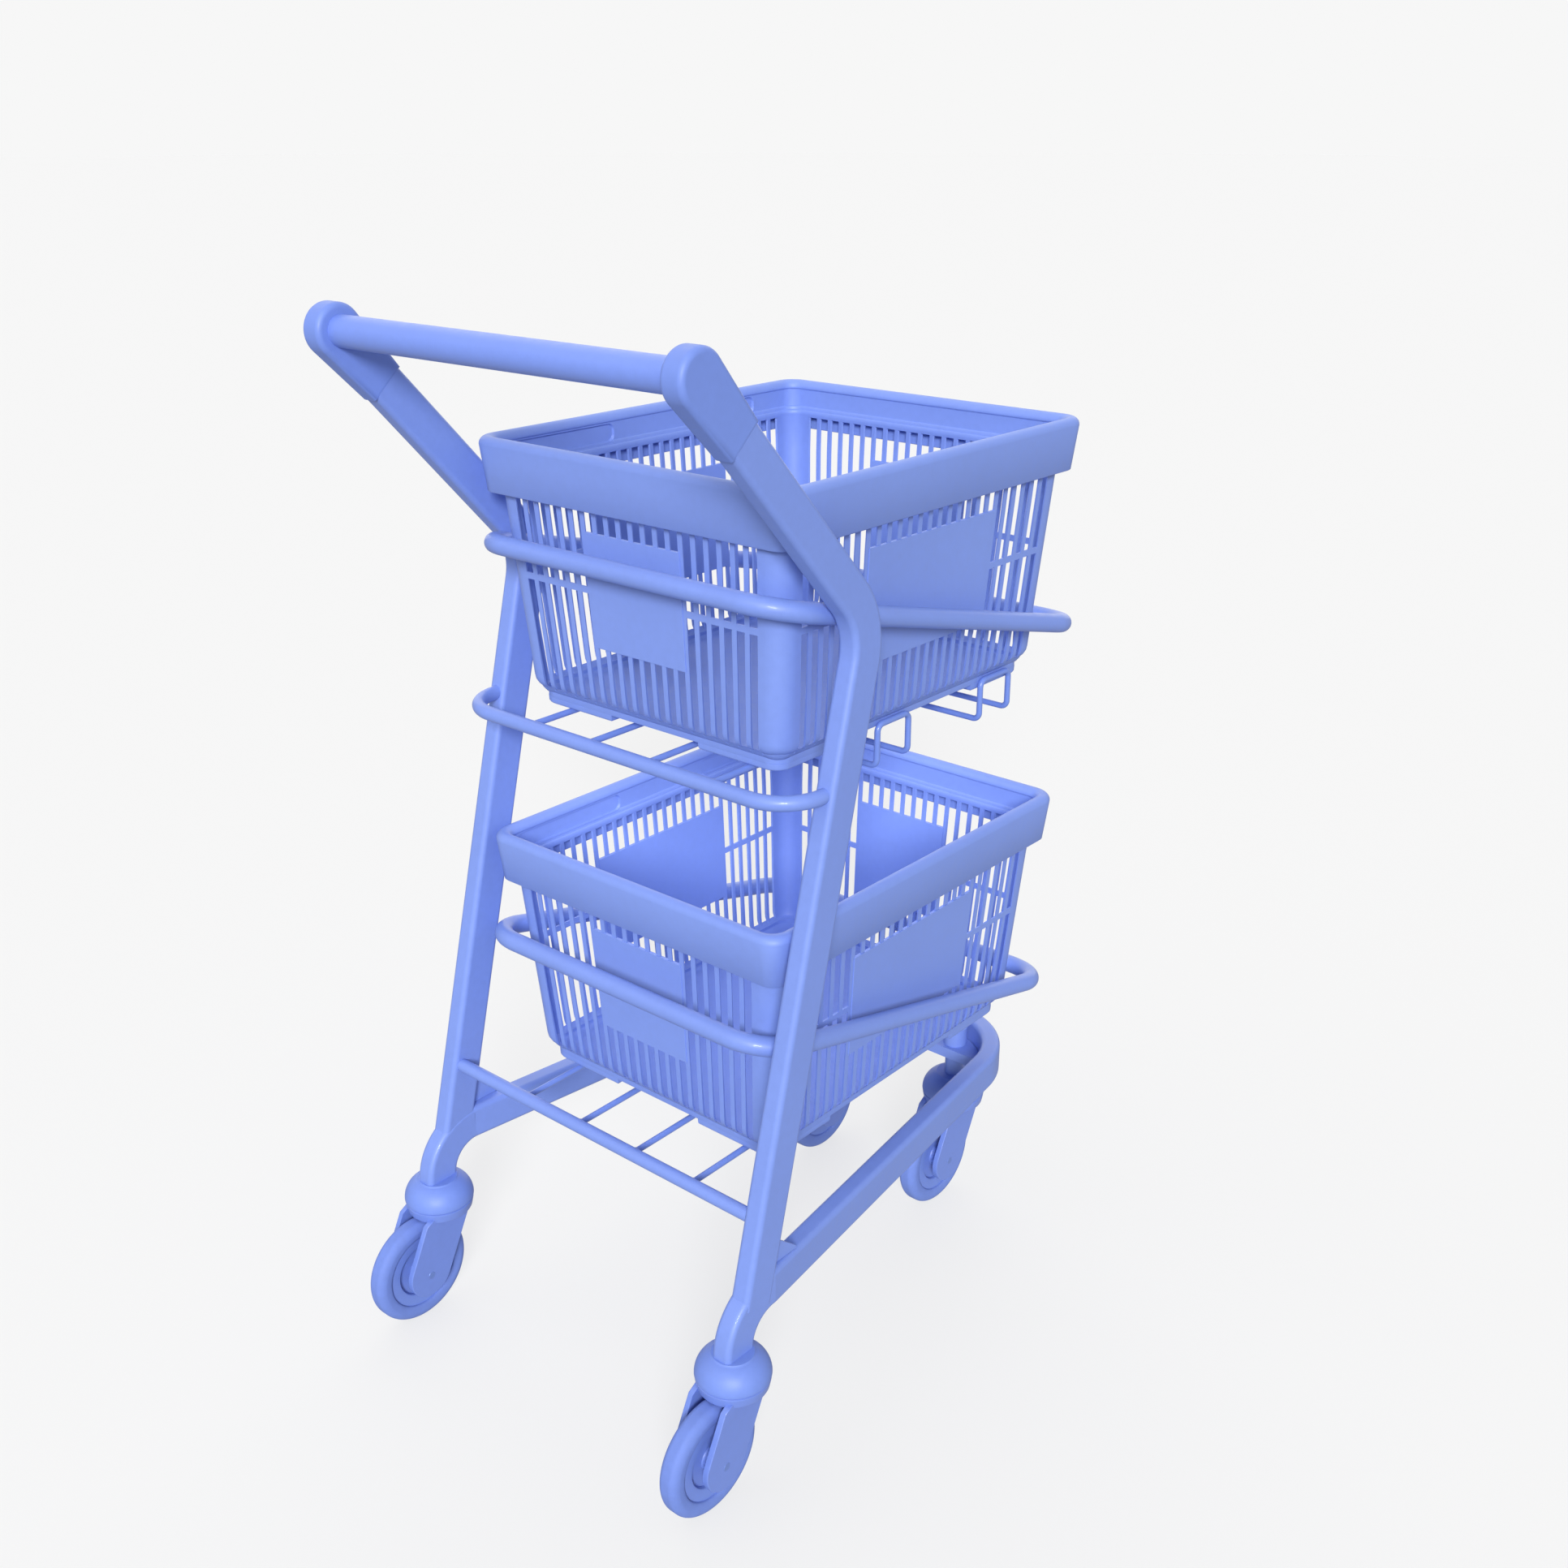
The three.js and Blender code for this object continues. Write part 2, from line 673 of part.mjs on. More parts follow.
function fork(x, y) {
  const crown = turned([
    [6.5, 112.8],
    [31.4, 112.8],
    [32.6, 114.0],
    [34.4, 122.8],
    [32.8, 124.1],
    [6.5, 124.1],
    [6.5, 112.8],
  ], 18, x, y);
  const outline = bladeOutline().map(([u, z]) => [y + u, z]);
  const blades = [[-22.4, -16.6], [16.6, 22.4]].map(([a, b]) => sidePlate(outline, x + a, x + b));
  const bore = rod(v3(x - 30, y - TRAIL, WHEEL_R), v3(x + 30, y - TRAIL, WHEEL_R), 4.6, 16);
  return cutAway(fuse([crown, ...blades]), [bore]);
}

function axle(x, y) {
  const reach = 23.0;
  return rod(v3(x - reach, y - TRAIL, WHEEL_R), v3(x + reach, y - TRAIL, WHEEL_R), 4.1, 16);
}

function wheelHub(x, y) {
  const profile = [
    [4.4, -11.4],
    [9.5, -11.4],
    [12.0, -4.0],
    [31.0, -3.2],
    [34.5, -8.6],
    [39.4, -8.8],
    [39.4, 8.8],
    [34.5, 8.6],
    [31.0, 3.2],
    [12.0, 4.0],
    [9.5, 11.4],
    [4.4, 11.4],
    [4.4, -11.4],
  ];
  return turnedAcross(profile, 20, x, y - TRAIL, WHEEL_R);
}

function tyre(x, y) {
  const profile = [
    [39.8, -9.4],
    [46.0, -10.8],
    [52.6, -8.6],
    [WHEEL_R, -3.0],
    [WHEEL_R, 3.0],
    [52.6, 8.6],
    [46.0, 10.8],
    [39.8, 9.4],
    [39.8, -9.4],
  ];
  return turnedAcross(profile, 26, x, y - TRAIL, WHEEL_R);
}

function buildCasters() {
  for (const [name, x, y] of CASTERS) {
    add(`caster_hood_${name}`, hood(x, y), PLASTIC);
    add(`caster_fork_${name}`, fork(x, y), FORK);
    add(`caster_axle_${name}`, axle(x, y), BOLT);
    add(`wheel_hub_${name}`, wheelHub(x, y), PLASTIC);
    add(`tyre_${name}`, tyre(x, y), TYRE);
  }
}

// ---- assembly ----
function buildFrame() {
  add('base_rail', railSolid(0), POWDER);
  buildSides(railSolid(GAP));
  add('front_caster_plate', frontPlate(), POWDER);
  for (const [name, x, y] of CASTERS.slice(2)) {
    add(`stem_${name}`, frontStem(x, y), WIRE);
    add(`stem_boss_${name}`, frontBoss(x, y), POWDER);
  }
  add('handle_bar', handleBar(), PLASTIC);
  add('handle_bracket_left', handleBracket(-1), PLASTIC);
  add('handle_bracket_right', handleBracket(1), PLASTIC);
  add('upper_ring', ring(UPPER_RING), POWDER);
  add('lower_ring', ring(LOWER_RING), POWDER);
  add('upper_hoop', hoop(), POWDER);
  add('lower_cross_tube', crossTube(), POWDER);
}

function buildBaskets() {
  const upper = basketGeometry();
  const lower = upper.clone();
  upper.translate(0, UPPER_BASKET.y, UPPER_BASKET.z);
  lower.translate(0, LOWER_BASKET.y, LOWER_BASKET.z);
  add('basket_upper', upper, BASKET);
  add('basket_lower', lower, BASKET);
}

buildFrame();
buildRack();
buildBaskets();
buildCasters();

export default group;
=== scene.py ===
"""Looks for the rolling basket trolley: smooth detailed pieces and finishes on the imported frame.

The object's lengths are in millimetres, in the frame's own axes, until shape_mesh() turns them
into metres. The camera, the lights and the stage are in metres.
"""
import math

import bmesh
import bpy
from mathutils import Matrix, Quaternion, Vector


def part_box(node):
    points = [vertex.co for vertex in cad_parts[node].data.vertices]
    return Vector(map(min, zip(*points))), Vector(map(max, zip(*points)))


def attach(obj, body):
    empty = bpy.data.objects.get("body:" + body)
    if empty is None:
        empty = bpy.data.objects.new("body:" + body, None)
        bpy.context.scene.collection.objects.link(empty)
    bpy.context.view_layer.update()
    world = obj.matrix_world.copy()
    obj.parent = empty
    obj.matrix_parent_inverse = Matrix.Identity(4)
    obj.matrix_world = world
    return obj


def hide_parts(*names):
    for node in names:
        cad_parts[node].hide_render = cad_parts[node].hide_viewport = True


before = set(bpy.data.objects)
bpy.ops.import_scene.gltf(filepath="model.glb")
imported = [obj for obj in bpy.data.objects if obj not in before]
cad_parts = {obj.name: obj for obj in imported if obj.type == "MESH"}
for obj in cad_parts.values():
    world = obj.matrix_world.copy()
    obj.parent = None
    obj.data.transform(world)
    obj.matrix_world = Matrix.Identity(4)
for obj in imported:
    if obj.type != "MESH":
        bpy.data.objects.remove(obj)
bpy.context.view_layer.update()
MM = 0.001

# ---- design dimensions that a node's box doesn't give ----

# How far a hidden end runs on inside the piece it is fixed to.
SINK = 1.0
TUBE_WIDTH = 20.7
TUBE_DEPTH = 36.0
TUBE_CORNER = 5.3
LEG_FOOT = Vector((0, -210.04, 186.0))
ARM_BEND = Vector((0, -61.04, 778.8))
ARM_BEND_RADIUS = 64.0
RAIL_CORNER = 82.5
RAIL_TAPER = 0.1306
RAIL_DROP = 45.6
RAIL_INSET = 0.6
STUB_BOTTOM = 138.6
RING_RADIUS = 9.2
RING_CORNER = 43.7
# The rings slope down to the front, so their upright leans forward.
RING_UPRIGHT = (0, 0.243, 0.97)
HOOP_RADIUS = 6.8
HOOP_CORNER = 43.0
CROSS_RADIUS = 6.5
WIRE_RADIUS = 3.0
WIRE_BEND = 9.0
# The lower wires leave the middle of their cross tube and drop to their own level in this run.
WIRE_LEAD = 17.0
# Where the two inner upper wires go down onto the stirrups and come up again.
DIP_START = (-59.24, -37.24)
DIP_END = (264.76, 286.76)
STIRRUP_RADIUS = 2.9
STIRRUP_BEND = 7.0
BRACKET_END = 23.2
BRACKET_HALF = 19.3
BRACKET_LENGTH = 66.0
BRACKET_ROUND = 5.0
HEAD_STEPS = 40
ROUND_STEPS = 6
AXLE_RADIUS = 4.2
AXLE_PROUD = 0.3
AXLE_CHAMFER = 0.5
BLADE_INNER = 16.6
BLADE_OUTER = 22.4
BLADE_END = 25.0
BLADE_END_Z = 57.2
WHEEL_TRAIL = 34.5

POSITIONS = ("rear_left", "rear_right", "front_left", "front_right")


def mm_box(node):
    """A CAD node's lowest and highest corners, in millimetres."""
    low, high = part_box(node)
    return Vector([c / MM for c in low]), Vector([c / MM for c in high])


def middle(node):
    """The centre of a CAD node's box, in millimetres."""
    low, high = mm_box(node)
    return (low + high) / 2


# ---- shape helpers ----
def circle_section(radius, count):
    """A round tube's section as `count` points."""
    turns = [2 * math.pi * i / count for i in range(count)]
    return [(radius * math.cos(a), radius * math.sin(a)) for a in turns]


def rounded_section(width, depth, radius, steps):
    """A rectangular tube's section with rounded corners."""
    points = []
    for quarter, (sx, sy) in enumerate(((1, 1), (-1, 1), (-1, -1), (1, -1))):
        for i in range(steps + 1):
            angle = (quarter + i / steps) * math.pi / 2
            points.append((
                sx * (width / 2 - radius) + radius * math.cos(angle),
                sy * (depth / 2 - radius) + radius * math.sin(angle),
            ))
    return points


def fillet_path(corners, radii, steps, closed=False):
    """The corner points joined by straight runs, each corner rounded to its radius."""
    count = len(corners)
    path = []
    for i, here in enumerate(corners):
        size = radii[i] if isinstance(radii, (list, tuple)) else radii
        if size == 0 or (not closed and i in (0, count - 1)):
            path.append(here.copy())
            continue
        before = (corners[i - 1] - here).normalized()
        after = (corners[(i + 1) % count] - here).normalized()
        half = before.angle(after) / 2
        centre = here + (before + after).normalized() * (size / math.sin(half))
        start = here + before * (size / math.tan(half)) - centre
        end = here + after * (size / math.tan(half)) - centre
        axis = start.cross(end).normalized()
        for k in range(steps + 1):
            turn = Quaternion(axis, start.angle(end) * k / steps)
            path.append(centre + turn @ start)
    return path


def sweep(path, section, up, closed=False):
    """A closed section carried along a path; `up` sets its second axis at the start."""
    count = len(path)
    size = len(section)
    tangents = []
    for i in range(count):
        before = path[i - 1] if closed or i > 0 else path[i]
        after = path[(i + 1) % count] if closed or i < count - 1 else path[i]
        arriving = (path[i] - before).normalized()
        leaving = (after - path[i]).normalized()
        tangents.append((arriving + leaving).normalized())
    points = []
    second = Vector(up)
    for i, tangent in enumerate(tangents):
        if i > 0:
            second = tangents[i - 1].rotation_difference(tangent) @ second
        second = (second - tangent * second.dot(tangent)).normalized()
        first = second.cross(tangent)
        points += [path[i] + first * a + second * b for a, b in section]
    faces = []
    for i in range(count if closed else count - 1):
        here = i * size
        there = ((i + 1) % count) * size
        for k in range(size):
            m = (k + 1) % size
            faces.append((here + k, here + m, there + m, there + k))
    if not closed:
        faces.append(tuple(reversed(range(size))))
        faces.append(tuple(range((count - 1) * size, count * size)))
    return points, faces


def rod(start, end, radius, count):
    """A plain round bar between two points."""
    along = (end - start).normalized()
    up = (0, 1, 0) if abs(along.z) > 0.9 else (0, 0, 1)
    return sweep([start, end], circle_section(radius, count), up)


def turned(profile, count, place):
    """A lathe shape. `place(r, h, angle)` gives the point for a radius, a height and an angle."""
    loop = profile[0] == profile[-1]
    rings = profile[:-1] if loop else profile
    points = []
    for r, h in rings:
        points += [place(r, h, 2 * math.pi * k / count) for k in range(count)]
    faces = []
    for i in range(len(rings) if loop else len(rings) - 1):
        here = i * count
        there = ((i + 1) % len(rings)) * count
        for k in range(count):
            m = (k + 1) % count
            faces.append((here + k, here + m, there + m, there + k))
    if not loop:
        faces.append(tuple(reversed(range(count))))
        faces.append(tuple(range((len(rings) - 1) * count, len(rings) * count)))
    return points, faces


def upright(x, y):
    """A place for turned() that stands on the Z axis at (x, y)."""
    return lambda r, h, a: Vector((x + r * math.cos(a), y + r * math.sin(a), h))


def crosswise(centre):
    """A place for turned() that lies along the X axis through `centre`."""
    return lambda r, h, a: centre + Vector((h, r * math.cos(a), r * math.sin(a)))


def stack(rings):
    """Rings of equal size joined one to the next, and capped."""
    size = len(rings[0])
    points = [p for ring in rings for p in ring]
    faces = []
    for i in range(len(rings) - 1):
        here = i * size
        there = here + size
        for k in range(size):
            m = (k + 1) % size
            faces.append((here + k, here + m, there + m, there + k))
    faces.append(tuple(reversed(range(size))))
    faces.append(tuple(range((len(rings) - 1) * size, len(rings) * size)))
    return points, faces


def joined(*shapes):
    """Several shapes as one."""
    points = []
    faces = []
    for shape_points, shape_faces in shapes:
        base = len(points)
        points += shape_points
        faces += [tuple(base + i for i in face) for face in shape_faces]
    return points, faces


def moved(shape, offset):
    """A shape shifted by `offset`."""
    points, faces = shape
    return [p + offset for p in points], faces


def arc(centre, radii, start, end, steps):
    """Points of an elliptic arc, in degrees, both ends included."""
    result = []
    for i in range(steps + 1):
        a = math.radians(start + (end - start) * i / steps)
        result.append((centre[0] + radii[0] * math.cos(a), centre[1] + radii[1] * math.sin(a)))
    return result


# ---- finishes ----
def srgb(red, green, blue):
    """A screen colour, 0 to 255, as the linear colour that shaders use."""
    def linear(c):
        c = c / 255
        return c / 12.92 if c <= 0.04045 else ((c + 0.055) / 1.055) ** 2.4
    return (linear(red), linear(green), linear(blue), 1.0)


def finish_material(name, colour, rough, grain_scale, grain_depth, variation=0.05, **sockets):
    """A coloured surface with slow colour drift, uneven gloss and a fine grain in its bump."""
    material = bpy.data.materials.new(name)
    material.use_nodes = True
    nodes = material.node_tree.nodes
    links = material.node_tree.links
    shader = nodes["Principled BSDF"]
    place = nodes.new("ShaderNodeTexCoord").outputs["Object"]

    drift = nodes.new("ShaderNodeTexNoise")
    drift.inputs["Scale"].default_value = 9.0
    drift.inputs["Detail"].default_value = 3.0
    links.new(place, drift.inputs["Vector"])
    tint = nodes.new("ShaderNodeMix")
    tint.data_type = "RGBA"
    darker = [c * (1 - variation) for c in colour[:3]] + [1.0]
    lighter = [min(c * (1 + variation), 1.0) for c in colour[:3]] + [1.0]
    tint.inputs["A"].default_value = darker
    tint.inputs["B"].default_value = lighter
    links.new(drift.outputs["Fac"], tint.inputs["Factor"])

    speck = nodes.new("ShaderNodeTexNoise")
    speck.inputs["Scale"].default_value = 140.0
    speck.inputs["Detail"].default_value = 4.0
    links.new(place, speck.inputs["Vector"])
    fleck = nodes.new("ShaderNodeMix")
    fleck.data_type = "RGBA"
    fleck.blend_type = "MULTIPLY"
    fleck.inputs["Factor"].default_value = variation * 2
    links.new(tint.outputs["Result"], fleck.inputs["A"])
    links.new(speck.outputs["Fac"], fleck.inputs["B"])
    links.new(fleck.outputs["Result"], shader.inputs["Base Color"])

    gloss = nodes.new("ShaderNodeMapRange")
    gloss.inputs["From Min"].default_value = 0.3
    gloss.inputs["From Max"].default_value = 0.7
    gloss.inputs["To Min"].default_value = rough - 0.06
    gloss.inputs["To Max"].default_value = rough + 0.06
    links.new(speck.outputs["Fac"], gloss.inputs["Value"])
    links.new(gloss.outputs["Result"], shader.inputs["Roughness"])

    grain = nodes.new("ShaderNodeTexNoise")
    grain.inputs["Scale"].default_value = grain_scale
    grain.inputs["Detail"].default_value = 2.0
    links.new(place, grain.inputs["Vector"])
    bump = nodes.new("ShaderNodeBump")
    bump.inputs["Strength"].default_value = 0.6
    bump.inputs["Distance"].default_value = grain_depth * MM
    links.new(grain.outputs["Fac"], bump.inputs["Height"])
    links.new(bump.outputs["Normal"], shader.inputs["Normal"])
    for socket, value in sockets.items():
        shader.inputs[socket.replace("_", " ")].default_value = value
    return material


POWDER = finish_material("powder_coat", srgb(119, 144, 219), 0.46, 700, 0.10, Coat_Weight=0.12)
WIRE = finish_material("coated_wire", srgb(112, 138, 214), 0.36, 500, 0.05, Coat_Weight=0.15)
GRIP = finish_material("grip_sleeve", srgb(116, 142, 223), 0.42, 1500, 0.05)
MOULDING = finish_material("moulded_caps", srgb(113, 139, 217), 0.50, 1900, 0.09)
BASKET = finish_material("basket_plastic", srgb(122, 147, 221), 0.50, 1300, 0.06)
PRESSED = finish_material("pressed_steel", srgb(111, 136, 214), 0.38, 420, 0.06, Coat_Weight=0.1)
HUB = finish_material("hub_plastic", srgb(113, 139, 217), 0.46, 1700, 0.07)
RUBBER = finish_material("solid_tyre", srgb(110, 135, 212), 0.72, 900, 0.14, variation=0.08)
BOLT = finish_material("axle_steel", srgb(116, 142, 215), 0.34, 300, 0.03, Metallic=0.35)


# ---- making a piece ----
WELD = 1e-6


def shape_mesh(name, shape):
    """A mesh from a shape: in metres, doubled points welded, faces looking outward."""
    points, faces = shape
    mesh = bpy.data.meshes.new(name)
    mesh.from_pydata([[c * MM for c in p] for p in points], [], faces)
    work = bmesh.new()
    work.from_mesh(mesh)
    bmesh.ops.remove_doubles(work, verts=work.verts, dist=WELD)
    bmesh.ops.recalc_face_normals(work, faces=work.faces)
    work.to_mesh(mesh)
    work.free()
    return mesh


def mesh_piece(name, shape, material, body, node=None, bevel=0.0, sharp=35):
    """A piece with its finish, riding on its body in place of its CAD node.

    Its edges are rounded by `bevel`, or kept crisp where they turn more than `sharp` degrees.
    """
    mesh = shape_mesh(name, shape)
    for polygon in mesh.polygons:
        polygon.use_smooth = True
    if not bevel:
        mesh.set_sharp_from_angle(angle=math.radians(sharp))
    mesh.materials.append(material)
    piece = bpy.data.objects.new(name, mesh)
    bpy.context.scene.collection.objects.link(piece)
    if bevel:
        round_edges(piece, bevel)
    else:
        flatten_flats(piece)
    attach(piece, body)
    if node:
        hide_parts(node)
    return piece


def flatten_flats(piece):
    """Shades wide flat faces flat and their rounded corners round."""
    modifier = piece.modifiers.new("flat_faces", "WEIGHTED_NORMAL")
    modifier.keep_sharp = True
    modifier.weight = 50


def round_edges(piece, width, segments=3, angle=38):
    """Rounds the edges that turn more than `angle` degrees, `width` millimetres wide."""
    modifier = piece.modifiers.new("rounded_edges", "BEVEL")
    modifier.width = width * MM
    modifier.segments = segments
    modifier.limit_method = "ANGLE"
    modifier.angle_limit = math.radians(angle)
    modifier.harden_normals = True


# ---- tube frame ----
TUBE_SECTION = rounded_section(TUBE_WIDTH, TUBE_DEPTH, TUBE_CORNER, 8)
HANDLE = middle("handle_bar")


def side_frame(side, sign):
    """One bent tube: up from the base rail, then back to the handle."""
    x = sign * abs(middle(f"side_frame_{side}").x)
    across = Vector((x, 0, 0))
    grip = Vector((x, HANDLE.y, HANDLE.z))
    path = fillet_path([LEG_FOOT + across, ARM_BEND + across, grip], ARM_BEND_RADIUS, 22)
    path[-1] = path[-1] + (path[-2] - path[-1]).normalized() * BRACKET_END
    shape = sweep(path, TUBE_SECTION, (0, 1, 0))
    node = f"side_frame_{side}"
    mesh_piece(f"side_tube_{side}", shape, POWDER, "frame", node)


def base_rail():
    """The U-shaped bottom tube, whose rear ends turn down over the rear casters."""
    low, high = mm_box("base_rail")
    level = high.z - TUBE_DEPTH / 2
    rear_x = middle("side_frame_right").x - RAIL_INSET
    stub_y = low.y + TUBE_DEPTH / 2
    front_y = high.y - TUBE_WIDTH / 2
    kink_y = stub_y + RAIL_DROP
    front_x = rear_x - (front_y - kink_y) * RAIL_TAPER
    half = [
        Vector((rear_x, stub_y, STUB_BOTTOM)),
        Vector((rear_x, stub_y, level)),
        Vector((rear_x, kink_y, level)),
        Vector((front_x, front_y, level)),
    ]
    mirrored = [Vector((-p.x, p.y, p.z)) for p in reversed(half)]
    bend = RAIL_DROP - RAIL_INSET
    radii = [0, bend, 0, RAIL_CORNER, RAIL_CORNER, 0, bend, 0]
    path = fillet_path(half + mirrored, radii, 20)
    shape = sweep(path, TUBE_SECTION, (0, 1, 0))
    mesh_piece("base_tube", shape, POWDER, "frame", "base_rail")


def ring(level):
    """The round tube that a basket hangs in, sloping down to the front."""
    low, high = mm_box(f"{level}_ring")
    half = high.x - RING_RADIUS
    rear = low.y + RING_RADIUS
    front = high.y - RING_RADIUS
    top = high.z - RING_RADIUS
    bottom = low.z + RING_RADIUS
    corners = [
        Vector((-half, rear, top)),
        Vector((half, rear, top)),
        Vector((half, front, bottom)),
        Vector((-half, front, bottom)),
    ]
    path = fillet_path(corners, RING_CORNER, 16, closed=True)
    shape = sweep(path, circle_section(RING_RADIUS, 28), RING_UPRIGHT, closed=True)
    mesh_piece(f"{level}_ring_tube", shape, POWDER, "frame", f"{level}_ring")


def hoop():
    """The round tube behind the legs; its ends meet them at its own height."""
    low, high = mm_box("upper_hoop")
    level = (low.z + high.z) / 2
    rear = low.y + HOOP_RADIUS
    leg = middle("side_frame_right").x
    share = (level - LEG_FOOT.z) / (ARM_BEND.z - LEG_FOOT.z)
    end = LEG_FOOT.lerp(ARM_BEND, share).y
    corners = [
        Vector((-leg, end, level)),
        Vector((-leg, rear, level)),
        Vector((leg, rear, level)),
        Vector((leg, end, level)),
    ]
    path = fillet_path(corners, HOOP_CORNER, 18)
    shape = sweep(path, circle_section(HOOP_RADIUS, 28), (0, 0, 1))
    mesh_piece("hoop_tube", shape, POWDER, "frame", "upper_hoop")


def cross_tube():
    """The straight tube between the legs that carries the lower rack wires."""
    centre = middle("lower_cross_tube")
    reach = Vector((mm_box("lower_cross_tube")[1].x + SINK, 0, 0))
    shape = rod(centre - reach, centre + reach, CROSS_RADIUS, 36)
    mesh_piece("cross_tube", shape, POWDER, "frame", "lower_cross_tube")


def rack_wire(level, number):
    """One wire under a basket, turned up at the front to the ring."""
    node = f"{level}_rack_wire_{number}"
    low, high = mm_box(node)
    x = (low.x + high.x) / 2
    front = high.y - WIRE_RADIUS
    dipped = level == "upper" and number in (2, 3)
    high_line = mm_box(f"{level}_rack_wire_1")[0].z + WIRE_RADIUS
    low_line = low.z + WIRE_RADIUS
    corners = [Vector((x, low.y, high_line))]
    if level == "lower":
        tube = middle("lower_cross_tube")
        corners = [Vector((x, tube.y, tube.z)), Vector((x, tube.y + WIRE_LEAD, high_line))]
    if dipped:
        corners += [
            Vector((x, DIP_START[0], high_line)),
            Vector((x, DIP_START[1], low_line)),
            Vector((x, DIP_END[0], low_line)),
            Vector((x, DIP_END[1], high_line)),
        ]
    corners += [Vector((x, front, high_line)), Vector((x, front, high.z + SINK))]
    path = fillet_path(corners, WIRE_BEND, 8)
    shape = sweep(path, circle_section(WIRE_RADIUS, 16), (1, 0, 0))
    mesh_piece(f"{level}_wire_{number}", shape, WIRE, "frame", node)


def stirrup(where):
    """A closed wire loop with upturned ends that the two inner upper wires rest on."""
    low, high = mm_box(f"stirrup_{where}")
    x = high.x - STIRRUP_RADIUS
    rear = low.y + STIRRUP_RADIUS
    front = high.y - STIRRUP_RADIUS
    top = high.z - STIRRUP_RADIUS
    bottom = low.z + STIRRUP_RADIUS
    corners = [
        Vector((-x, rear, top)),
        Vector((-x, rear, bottom)),
        Vector((x, rear, bottom)),
        Vector((x, rear, top)),
        Vector((x, front, top)),
        Vector((x, front, bottom)),
        Vector((-x, front, bottom)),
        Vector((-x, front, top)),
    ]
    path = fillet_path(corners, STIRRUP_BEND, 8, closed=True)
    shape = sweep(path, circle_section(STIRRUP_RADIUS, 16), (0, 1, 0), closed=True)
    mesh_piece(f"stirrup_loop_{where}", shape, WIRE, "frame", f"stirrup_{where}")


def kept_plates():
    """The flat plates keep their CAD shape and get rounded edges and a finish."""
    for node in ("front_caster_plate", "gusset_left", "gusset_right"):
        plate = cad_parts[node]
        plate.data.materials.clear()
        plate.data.materials.append(POWDER)
        round_edges(plate, 0.9)


def front_posts(side):
    """A front caster's stem below the rail, and its boss above."""
    low, high = mm_box(f"stem_front_{side}")
    x = (low.x + high.x) / 2
    y = (low.y + high.y) / 2
    radius = (high.x - low.x) / 2
    profile = [(radius, low.z), (radius, high.z + SINK)]
    shape = turned(profile, 48, upright(x, y))
    node = f"stem_front_{side}"
    mesh_piece(f"post_front_{side}", shape, WIRE, "frame", node, sharp=40)
    low, high = mm_box(f"stem_boss_front_{side}")
    radius = (high.x - low.x) / 2
    profile = [(radius, low.z - SINK), (radius, high.z)]
    shape = turned(profile, 56, upright(x, y))
    node = f"stem_boss_front_{side}"
    mesh_piece(f"boss_front_{side}", shape, POWDER, "frame", node, bevel=1.2)


# ---- handle ----
def handle_bar():
    """The round bar, with a moulded collar round each end."""
    low, high = mm_box("handle_bar")
    radius = (high.z - low.z) / 2
    start = Vector((low.x, HANDLE.y, HANDLE.z))
    end = Vector((high.x, HANDLE.y, HANDLE.z))
    shape = rod(start, end, radius, 64)
    mesh_piece("grip_bar", shape, GRIP, "frame", "handle_bar", bevel=0.8)
    for side, centre, inward in (("left", start, 1), ("right", end, -1)):
        profile = [
            (radius - 1.0, 0.0),
            (radius + 2.4, 0.0),
            (radius + 2.4, inward * 3.4),
            (radius + 1.0, inward * 5.2),
            (radius - 1.0, inward * 5.2),
        ]
        collar = turned(profile + profile[:1], 64, crosswise(centre))
        name = f"grip_collar_{side}"
        mesh_piece(name, collar, MOULDING, "frame", "handle_bar", sharp=30)


def bracket_outline(inset, along, across):
    """A round head and a straight-sided shank, drawn in by `inset` all round."""
    end = BRACKET_END - inset
    half = BRACKET_HALF - inset
    length = BRACKET_LENGTH - inset
    tangent = math.atan2(half, length) + math.acos(end / math.hypot(length, half))
    turn = 2 * math.pi - 2 * tangent
    points = []
    for angle in [tangent + turn * i / HEAD_STEPS for i in range(HEAD_STEPS + 1)]:
        points.append((end * math.cos(angle), end * math.sin(angle)))
    points += [(length, -half), (length, half)]
    return [along * a + across * b for a, b in points]


def handle_bracket(side):
    """A moulded end: a plate with rounded edges that lies along the side frame's upper arm."""
    node = f"handle_bracket_{side}"
    low, high = mm_box(node)
    along = Vector((0, ARM_BEND.y - HANDLE.y, ARM_BEND.z - HANDLE.z)).normalized()
    across = Vector((0, along.z, -along.y))
    edge = []
    for angle in [math.radians(90 * i / ROUND_STEPS) for i in range(ROUND_STEPS + 1)]:
        inset = BRACKET_ROUND * (1 - math.sin(angle))
        depth = BRACKET_ROUND * (1 - math.cos(angle))
        edge.append((inset, depth))
    slices = [(inset, low.x + depth) for inset, depth in edge]
    slices += [(inset, high.x - depth) for inset, depth in reversed(edge)]
    rings = []
    for inset, x in slices:
        centre = Vector((x, HANDLE.y, HANDLE.z))
        rings.append([centre + p for p in bracket_outline(inset, along, across)])
    shape = stack(rings)
    mesh_piece(f"end_bracket_{side}", shape, MOULDING, "frame", node, sharp=50)


# ---- baskets ----
# Heights are counted from the rim's lower edge, offsets outward from the skirt's face there.
RIM_HEIGHT = 50.4
RIM_FLARE = 6.0
WALL_INSET = 9.0
WALL_TOP = -4.4
WALL_SLOPE = 0.0743
WALL_THICK = 1.8
WALL_FOOT = -174.0
SLOT = 9.0
SLOT_TOP = 13.5
SLOT_BOTTOM = -182.0
